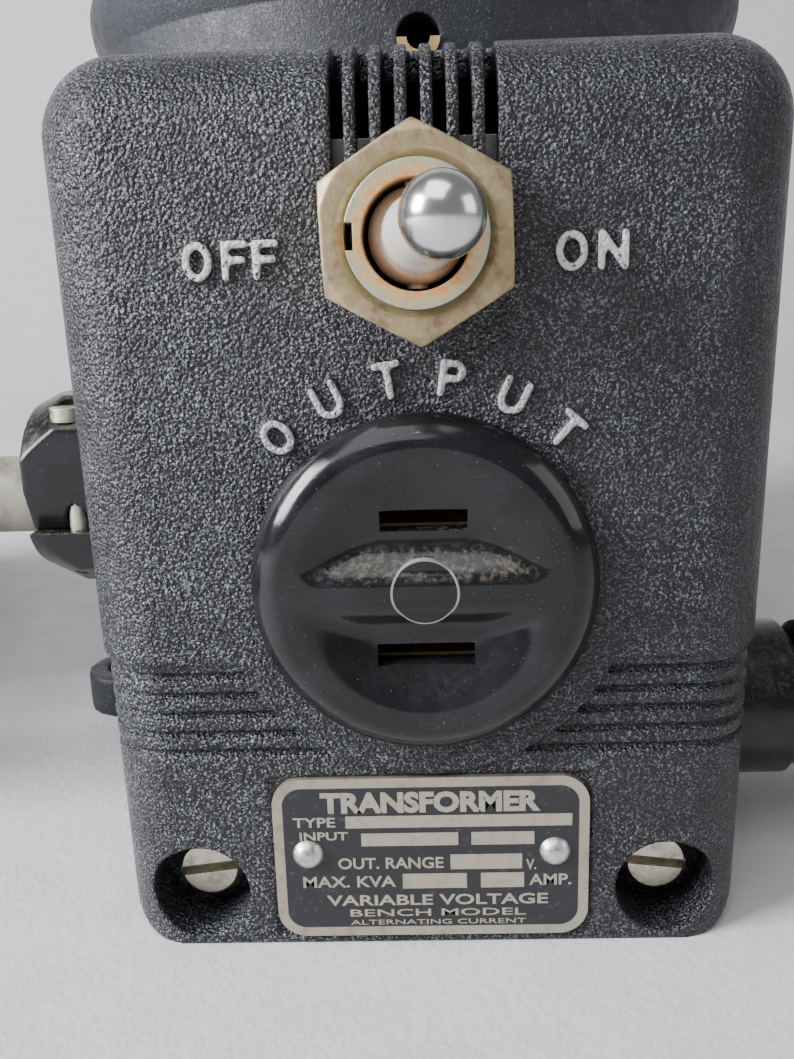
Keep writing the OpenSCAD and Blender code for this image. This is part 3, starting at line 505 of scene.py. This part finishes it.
def wound_copper():
    """Varnished wire wound side by side round the core."""
    s = Surface("enamelled_copper", (0.30, 0.11, 0.045), 0.28, 0.8)
    angle = s.calc("ARCTAN2", s.axis("Y"), s.axis("X"))
    turns = s.calc("SINE", s.calc("MULTIPLY", angle, WIRE_RIPPLES))
    # The dark between the turns is painted shade in the creases between the wires; the copper colour is on
    # their crowns.
    s.paint(s.mix(s.span(turns, -0.9, 0.2), (0.06, 0.02, 0.01), (0.36, 0.13, 0.05)))
    s.gloss(s.span(s.noise(3.0), 0.3, 0.7, 0.22, 0.4))
    s.bump(turns, 0.25, 0.8)
    return s.done()


def ground_copper():
    """Copper track, ground flat across the turns and polished by the brush."""
    s = Surface("bare_copper", (0.72, 0.36, 0.2), 0.3, 1.0)
    angle = s.calc("ARCTAN2", s.axis("Y"), s.axis("X"))
    gaps = s.span(s.calc("SINE", s.calc("MULTIPLY", angle, WIRE_RIPPLES)), -0.95, -0.6)
    path = s.radius_from(Vector((0, 0, 0)), "XY")
    dark = s.times(s.span(path, 36.5, 37.5), s.span(path, 42.5, 43.5, 1.0, 0.0))
    copper = s.mix(s.times(dark, 0.5), (0.74, 0.38, 0.21), (0.30, 0.15, 0.09))
    s.paint(s.mix(gaps, (0.05, 0.02, 0.01), copper))
    s.gloss(s.span(s.noise(1.0), 0.3, 0.7, 0.22, 0.4))
    s.bump(gaps, 0.08, 0.6)
    return s.done()


def strip_steel():
    """Edge of the core's wound steel strip: fine rings round the axis."""
    s = Surface("silicon_steel", (0.22, 0.22, 0.24), 0.4, 1.0)
    path = s.radius_from(Vector((0, 0, 0)), "XY")
    layers = s.calc("SINE", s.calc("MULTIPLY", path, 16.0))
    s.paint(s.mix(s.span(layers, -0.5, 0.5), (0.12, 0.12, 0.13), (0.26, 0.26, 0.28)))
    s.gloss(s.span(s.noise(2.0), 0.3, 0.7, 0.3, 0.5))
    s.bump(layers, 0.05, 0.4)
    return s.done()


def dial_face():
    """Satin aluminium dial with a fine turned grain."""
    s = Surface("dial", (0.62, 0.62, 0.60), 0.36, 0.9)
    path = s.radius_from(Vector((0, 0, 0)), "XY")
    rings = s.noise(0.12, 2.0, 0.6, 0.0, None)
    grooves = s.calc("SINE", s.calc("MULTIPLY", path, 22.0))
    stain = s.span(s.noise(7.0, 4.0, 0.7), 0.45, 0.75, 0.0, 0.5)
    s.paint(s.mix(stain, (0.64, 0.64, 0.62), (0.40, 0.37, 0.31)))
    s.gloss(s.span(rings, 0.3, 0.7, 0.28, 0.44))
    s.bump(grooves, 0.01, 0.4)
    return s.done()


def fuse_tube():
    s = Surface("fuse_glass", (0.9, 0.95, 0.97), 0.04)
    s.shader.inputs["Transmission Weight"].default_value = 1.0
    s.shader.inputs["IOR"].default_value = 1.5
    s.gloss(s.span(s.noise(2.0), 0.4, 0.8, 0.03, 0.1))
    return s.done()


def printed_black():
    s = Surface("printed_black", (0.015, 0.015, 0.017), 0.5)
    s.paint(s.mix(s.span(s.noise(0.5, 3.0), 0.5, 0.7), (0.013, 0.013, 0.015), (0.06, 0.06, 0.06)))
    s.bump(s.noise(0.3), 0.01, 0.3)
    return s.done()


def printed_white():
    s = Surface("printed_white", (0.75, 0.74, 0.68), 0.5)
    s.paint(s.mix(s.span(s.noise(0.6, 4.0, 0.7), 0.5, 0.75), (0.78, 0.77, 0.72), (0.40, 0.38, 0.33)))
    s.bump(s.noise(0.4), 0.02, 0.3)
    return s.done()


LOOKS = {
    "pebble_enamel": pebble_enamel(),
    "wrinkle_enamel": wrinkle_enamel(),
    "bakelite": bakelite(),
    "bakelite_worn": bakelite("bakelite_worn", 1.0),
    "dial": dial_face(),
    "nickel": lever_nickel(),
    "bronze": metal("bronze", (0.50, 0.33, 0.16), 0.34, (0.16, 0.09, 0.04)),
    "silicon_steel": strip_steel(),
    "fibre": matt("fibre", (0.42, 0.30, 0.13), (0.30, 0.20, 0.08), 0.5),
    "enamelled_copper": wound_copper(),
    "bare_copper": ground_copper(),
    "felt": matt("felt", (0.40, 0.35, 0.25), (0.24, 0.20, 0.14), 0.95, 0.5, 0.25),
    "zinc_steel": metal("zinc_steel", (0.50, 0.50, 0.48), 0.38),
    "aged_nickel": metal("aged_nickel", (0.62, 0.58, 0.48), 0.34, (0.22, 0.18, 0.12), 0.6, 1.6),
    "plate": plate_face("plate", 1.0),
    "rivet_aluminium": metal("rivet_aluminium", (0.66, 0.66, 0.64), 0.36, (0.35, 0.34, 0.32), 0.5, 1.2),
    "brass": metal("brass", (0.52, 0.42, 0.24), 0.42, (0.22, 0.18, 0.11), 0.7),
    "tarnished_bronze": tarnished_bronze(),
    "fuse_glass": fuse_tube(),
    "cotton_wire": matt("cotton_wire", (0.38, 0.30, 0.16), (0.22, 0.17, 0.09), 0.9, 0.5, 0.2),
    "cord_rubber": jacket(),
    "tie_rubber": matt("tie_rubber", (0.022, 0.022, 0.022), (0.05, 0.05, 0.048), 0.7, 1.2, 0.05),
    "cast_arm": metal("cast_arm", (0.46, 0.46, 0.46), 0.5, (0.28, 0.28, 0.27), 0.5, 1.5, 0.12),
    "spring_steel": metal("spring_steel", (0.42, 0.42, 0.43), 0.3),
    "carbon": matt("carbon", (0.02, 0.02, 0.022), (0.05, 0.05, 0.052), 0.45, 0.4, 0.03),
}
for row in frame["record"]["subparts"]:
    mesh = nodes[row["node"]].data
    mesh.materials.clear()
    mesh.materials.append(LOOKS[row["material_slot"]])
cord.data.materials.append(LOOKS["cord_rubber"])


# ---------------------------------------------------------------- pieces

def new_piece(name, mesh, body, look, slot=None):
    piece = bpy.data.objects.new(name, mesh)
    bpy.context.scene.collection.objects.link(piece)
    mesh.materials.clear()
    mesh.materials.append(look)
    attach(piece, body)
    return piece


def shown_mesh(piece):
    """The piece's mesh with its modifiers applied."""
    bpy.context.view_layer.update()
    graph = bpy.context.evaluated_depsgraph_get()
    return bpy.data.meshes.new_from_object(piece.evaluated_get(graph))


def smooth(mesh, sharp=None):
    for face in mesh.polygons:
        face.use_smooth = True
    if sharp:
        mesh.set_sharp_from_angle(angle=math.radians(sharp))


def softened(node, name, voxel, passes, keep, body="frame"):
    """A copy of a cast or moulded node with its edges rounded over by about a voxel or two."""
    row = next(r for r in frame["record"]["subparts"] if r["node"] == node)
    work = bpy.data.objects.new("work", nodes[node].data.copy())
    bpy.context.scene.collection.objects.link(work)
    remesh = work.modifiers.new("remesh", "REMESH")
    remesh.mode = "VOXEL"
    remesh.voxel_size = voxel
    relax = work.modifiers.new("relax", "SMOOTH")
    relax.factor = 0.5
    relax.iterations = passes
    if keep < 1:
        thin = work.modifiers.new("thin", "DECIMATE")
        thin.ratio = keep
    mesh = shown_mesh(work)
    mesh.name = name
    bpy.data.objects.remove(work)
    smooth(mesh)
    piece = new_piece(name, mesh, body, LOOKS[row["material_slot"]], row["material_slot"])
    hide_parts(node)
    return piece


softened("box_cover", "box_casting", 0.21 * MM, 2, 0.13)
softened("base_casting", "base_foot_casting", 0.55 * MM, 3, 0.3)
softened("cord_grip_upper", "cord_grip_upper_moulding", 0.2 * MM, 3, 0.4)
softened("cord_grip_lower", "cord_grip_lower_moulding", 0.2 * MM, 3, 0.4)
softened("switch_nut", "switch_nut_turned", 0.14 * MM, 2, 0.4)
softened("fuse_cap", "fuse_cap_moulding", 0.16 * MM, 2, 0.3, "fuse_plug")


# Outlet: glossy flange with a convex bevel, and a dish crossed by a bar with a round boss.
# Radii are from its axis and heights are from the box's front face, in plain millimetres.
FLANGE_R = 15.95
FACE_R = 13.2
FACE_H = 3.1
RIM_H = 0.9
DISH_R = 12.2
DISH_SLOPE = 6.2
DISH_DEPTH = 2.1
BAR_HALF = 0.5
BAR_SLOPE = 4.4
SLOT_Z = 6.35
SLOT_H = 2.0
SLOT_REACH = 16.0
UPPER_SLOT_W = 7.9
LOWER_SLOT_W = 9.0
CHAMBER = (12.0, 15.2, 5.2)
CHAMBER_BEHIND = 8.4
BOSS_R = 3.0
NECK_R = 13.4
NECK_DEPTH = 15.0
POINTS_AROUND = 240


def soft_max(a, b, width):
    """The larger of two heights, blended where they are within width of each other."""
    h = max(0.0, min(1.0, 0.5 + 0.5 * (a - b) / width))
    return b + (a - b) * h + width * h * (1 - h)


def eased(t):
    t = max(0.0, min(1.0, t))
    return t * t * (3 - 2 * t)


def outlet_height(x, z):
    r = math.hypot(x, z)
    if r > FACE_R:
        t = (r - FACE_R) / (FLANGE_R - FACE_R)
        return RIM_H + (FACE_H - RIM_H) * max(0.0, 1 - t ** 1.7) ** 0.8
    bowl = FACE_H - DISH_DEPTH * eased((DISH_R - r) / DISH_SLOPE)
    bar = FACE_H - DISH_DEPTH * eased((abs(z) - BAR_HALF) / BAR_SLOPE)
    face = min(FACE_H, soft_max(bowl, bar, 0.9))
    boss = FACE_H - 0.5 - 6 * max(0.0, r - BOSS_R)
    return soft_max(face, boss, 0.1)


def make_outlet():
    """The face as rings of points, closed behind by the flange's back and the neck.

    Rings are closest round the edge of the boss, where the face is steepest.
    """
    around = POINTS_AROUND
    rings = [0.12 * i for i in range(1, 24)] + [2.8 + 0.04 * i for i in range(0, 12)]
    rings += [3.3 + 0.16 * i for i in range(0, 79)]
    rings = sorted(set(round(r, 3) for r in rings if r < FLANGE_R - 0.02)) + [FLANGE_R]
    work = bmesh.new()

    def ring(radius, height):
        loop = []
        for k in range(around):
            a = 2 * math.pi * k / around
            x = radius * math.cos(a)
            z = radius * math.sin(a)
            up = outlet_height(x, z) if height is None else height
            loop.append(work.verts.new((OUTLET.x + x * MM, FRONT - up * MM, OUTLET.z + z * MM)))
        return loop

    loops = [ring(r, None) for r in rings]
    loops += [ring(FLANGE_R, 0.0), ring(NECK_R, 0.0), ring(NECK_R, -NECK_DEPTH)]
    for inner, outer in zip(loops, loops[1:]):
        for k in range(around):
            n = (k + 1) % around
            work.faces.new((inner[k], inner[n], outer[n], outer[k]))
    work.faces.new(list(reversed(loops[0])))
    work.faces.new(loops[-1])
    bmesh.ops.recalc_face_normals(work, faces=work.faces)
    mesh = bpy.data.meshes.new("outlet_moulding")
    work.to_mesh(mesh)
    work.free()
    body = bpy.data.objects.new("work", mesh)
    bpy.context.scene.collection.objects.link(body)
    cutters = []
    for sign, width in ((1, UPPER_SLOT_W), (-1, LOWER_SLOT_W)):
        level = OUTLET.z + sign * SLOT_Z * MM
        for size, depth in (((width, SLOT_REACH, SLOT_H), 4.0), (CHAMBER, CHAMBER_BEHIND)):
            box = bmesh.new()
            bmesh.ops.create_cube(box, size=1.0)
            bmesh.ops.scale(box, vec=Vector(size) * MM, verts=box.verts)
            bmesh.ops.translate(box, vec=(OUTLET.x, FRONT + depth * MM, level), verts=box.verts)
            data = bpy.data.meshes.new("cutter")
            box.to_mesh(data)
            box.free()
            cutter = bpy.data.objects.new("cutter", data)
            bpy.context.scene.collection.objects.link(cutter)
            cutters.append(cutter)
            cut = body.modifiers.new("cut", "BOOLEAN")
            cut.operation = "DIFFERENCE"
            cut.solver = "EXACT"
            cut.object = cutter
    final = shown_mesh(body)
    final.name = "outlet_moulding"
    for spare in [body, *cutters]:
        bpy.data.objects.remove(spare)
    smooth(final, 38)
    look = bakelite("outlet_bakelite", 0.0, 12.0)
    piece = new_piece("outlet_moulding", final, "frame", look, "bakelite")
    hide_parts("outlet_body")


make_outlet()


# Print: letters and boxes, each a thin solid, laid on a surface by a mapping.
def text_mesh(text, weight):
    data = bpy.data.curves.new("text", "FONT")
    data.body = text
    data.offset = weight
    data.extrude = 0.5
    data.resolution_u = 3
    work = bpy.data.objects.new("work", data)
    bpy.context.scene.collection.objects.link(work)
    mesh = shown_mesh(work)
    bpy.data.objects.remove(work)
    return mesh


def box_mesh():
    work = bmesh.new()
    bmesh.ops.create_cube(work, size=1.0)
    mesh = bpy.data.meshes.new("box")
    work.to_mesh(mesh)
    work.free()
    return mesh


class Print:
    """Collects flat marks; lay() maps across, up and out to a point on the object."""

    def __init__(self, thickness):
        self.work = bmesh.new()
        self.thickness = thickness

    def put(self, mesh, left, right, low, high, lay):
        flat = [v.co.copy() for v in mesh.vertices]
        x0 = min(p.x for p in flat)
        x1 = max(p.x for p in flat)
        y0 = min(p.y for p in flat)
        y1 = max(p.y for p in flat)
        added = bmesh.new()
        added.from_mesh(mesh)
        for v in added.verts:
            across = left + (right - left) * (v.co.x - x0) / (x1 - x0)
            up = low + (high - low) * (v.co.y - y0) / (y1 - y0)
            v.co = lay(across, up, self.thickness if v.co.z > 0 else 0.0)
        final = bpy.data.meshes.new("mark")
        added.to_mesh(final)
        added.free()
        self.work.from_mesh(final)

    def piece(self, name, body, look, slot):
        bmesh.ops.recalc_face_normals(self.work, faces=self.work.faces)
        mesh = bpy.data.meshes.new(name)
        self.work.to_mesh(mesh)
        self.work.free()
        return new_piece(name, mesh, body, look, slot)


def make_nameplate_legend():
    """Generic words and blank value boxes."""
    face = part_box("nameplate")[0].y
    sheet = Print(0.04 * MM)

    def lay(across, up, out):
        return Vector((PLATE.x + across * MM, face - out, PLATE.z + up * MM))

    def word(text, left, right, low, high, weight=0.02):
        sheet.put(text_mesh(text, weight), left, right, low, high, lay)

    def box(left, right, low, high):
        sheet.put(box_mesh(), left, right, low, high, lay)

    word("TRANSFORMER", -10.8, 10.8, 5.0, 7.3, 0.05)
    word("TYPE", -13.6, -9.4, 3.55, 4.6)
    box(-8.4, 13.9, 3.4, 4.7)
    word("INPUT", -13.0, -8.2, 2.1, 3.0)
    box(-6.9, 2.7, 1.4, 2.8)
    box(4.0, 10.2, 1.4, 2.8)
    word("OUT. RANGE", -9.3, 1.2, -1.15, 0.1)
    box(1.9, 9.0, -1.3, 0.35)
    word("V.", 9.4, 10.4, -1.45, -0.3)
    word("MAX. KVA", -12.9, -3.6, -3.2, -1.95)
    box(-2.9, 3.5, -3.4, -1.75)
    box(4.9, 9.2, -3.4, -1.75)
    word("AMP.", 9.7, 13.9, -3.2, -1.95)
    word("VARIABLE VOLTAGE", -10.6, 11.6, -5.3, -4.1)
    word("BENCH MODEL", -8.3, 9.4, -6.55, -5.75, 0.01)
    word("ALTERNATING CURRENT", -8.3, 9.4, -7.5, -6.95, 0.005)
    sheet.piece("nameplate_legend", "frame", legend(), "plate")


DIAL_START = math.radians(-110)
DIAL_SWEEP = math.radians(320)


def make_dial_print():
    """Scale from 0 to 140, clockwise round the knob, with a mark for every 2."""
    sheet = Print(0.05 * MM)
    outer = 43.2

    def around(value):
        angle = DIAL_START - DIAL_SWEEP * value / 140
        out = Vector((math.cos(angle), math.sin(angle), 0.0))
        side = Vector((out.y, -out.x, 0.0))

        def lay(across, up, thick):
            return out * up * MM + side * across * MM + Vector((0, 0, DECK + thick))

        return lay

    for value in range(0, 141, 2):
        size = 4.2 if value % 10 == 0 else 2.4
        half = 0.22 if value % 10 == 0 else 0.13
        sheet.put(box_mesh(), -half, half, outer - size, outer, around(value))
    for value in range(0, 141, 10):
        half = 0.95 * len(str(value))
        sheet.put(text_mesh(str(value), 0.02), -half, half, 33.6, 36.6, around(value))
    sheet.piece("dial_print", "frame", printed_black(), "dial")


def make_pointer_line():
    """White line let into the pointer rib of the knob's skirt."""
    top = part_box("knob")[0].z + 4.0 * MM
    out = Vector((math.cos(DIAL_START), math.sin(DIAL_START), 0.0))
    side = Vector((out.y, -out.x, 0.0))
    sheet = Print(0.05 * MM)

    def lay(across, up, thick):
        return out * up * MM + side * across * MM + Vector((0, 0, top + thick))

    sheet.put(box_mesh(), -0.45, 0.45, 19.6, 27.2, lay)
    sheet.piece("knob_pointer_line", "rotor", printed_white(), "bakelite")


make_nameplate_legend()
make_dial_print()
make_pointer_line()


# ---------------------------------------------------------------- room and light

def make_room():
    """Pale floor that turns up into a pale backdrop."""
    half = 1.6
    bend = 0.30
    turn_at = 0.30
    front = -1.2
    top = 1.6
    steps = 12
    profile = [(front, 0.0), (turn_at, 0.0)]
    for i in range(1, steps + 1):
        a = math.pi / 2 * i / steps
        profile.append((turn_at + bend * math.sin(a), bend * (1 - math.cos(a))))
    profile.append((turn_at + bend, top))
    work = bmesh.new()
    left = [work.verts.new((-half, y, z)) for y, z in profile]
    right = [work.verts.new((half, y, z)) for y, z in profile]
    for i in range(len(profile) - 1):
        work.faces.new((left[i], right[i], right[i + 1], left[i + 1]))
    mesh = bpy.data.meshes.new("room")
    work.to_mesh(mesh)
    work.free()
    smooth(mesh)
    room = bpy.data.objects.new("room", mesh)
    bpy.context.scene.collection.objects.link(room)
    s = Surface("pale_floor", (0.58, 0.58, 0.58), 0.75, specular=0.25)
    s.paint(s.mix(s.span(s.noise(9.0, 4.0), 0.3, 0.7), (0.55, 0.55, 0.555), (0.60, 0.60, 0.60)))
    s.bump(s.noise(1.3, 3.0, 0.6), 0.35, 0.5)
    mesh.materials.append(s.done())


def area_light(name, place, target, size, power, color=(1, 1, 1)):
    data = bpy.data.lights.new(name, "AREA")
    data.shape = "RECTANGLE"
    data.size = size[0]
    data.size_y = size[1]
    data.energy = power
    data.color = color
    light = bpy.data.objects.new(name, data)
    bpy.context.scene.collection.objects.link(light)
    light.location = place
    light.rotation_euler = (Vector(target) - Vector(place)).to_track_quat("-Z", "Y").to_euler()


def make_light():
    world = bpy.data.worlds.new("world")
    bpy.context.scene.world = world
    world.use_nodes = True
    world.node_tree.nodes["Background"].inputs["Color"].default_value = (0.90, 0.94, 1.0, 1.0)
    world.node_tree.nodes["Background"].inputs["Strength"].default_value = 0.26
    aim = (0.0, -0.10, 0.05)
    area_light("window", (-0.75, -0.38, 0.42), aim, (0.36, 0.44), 22.0, (0.97, 0.98, 1.0))
    area_light("sky", (-0.2, -0.5, 0.9), aim, (0.8, 0.8), 6.0, (0.97, 0.98, 1.0))
    area_light("fill", (0.8, -0.3, 0.35), aim, (0.5, 0.5), 1.5)


make_room()
make_light()
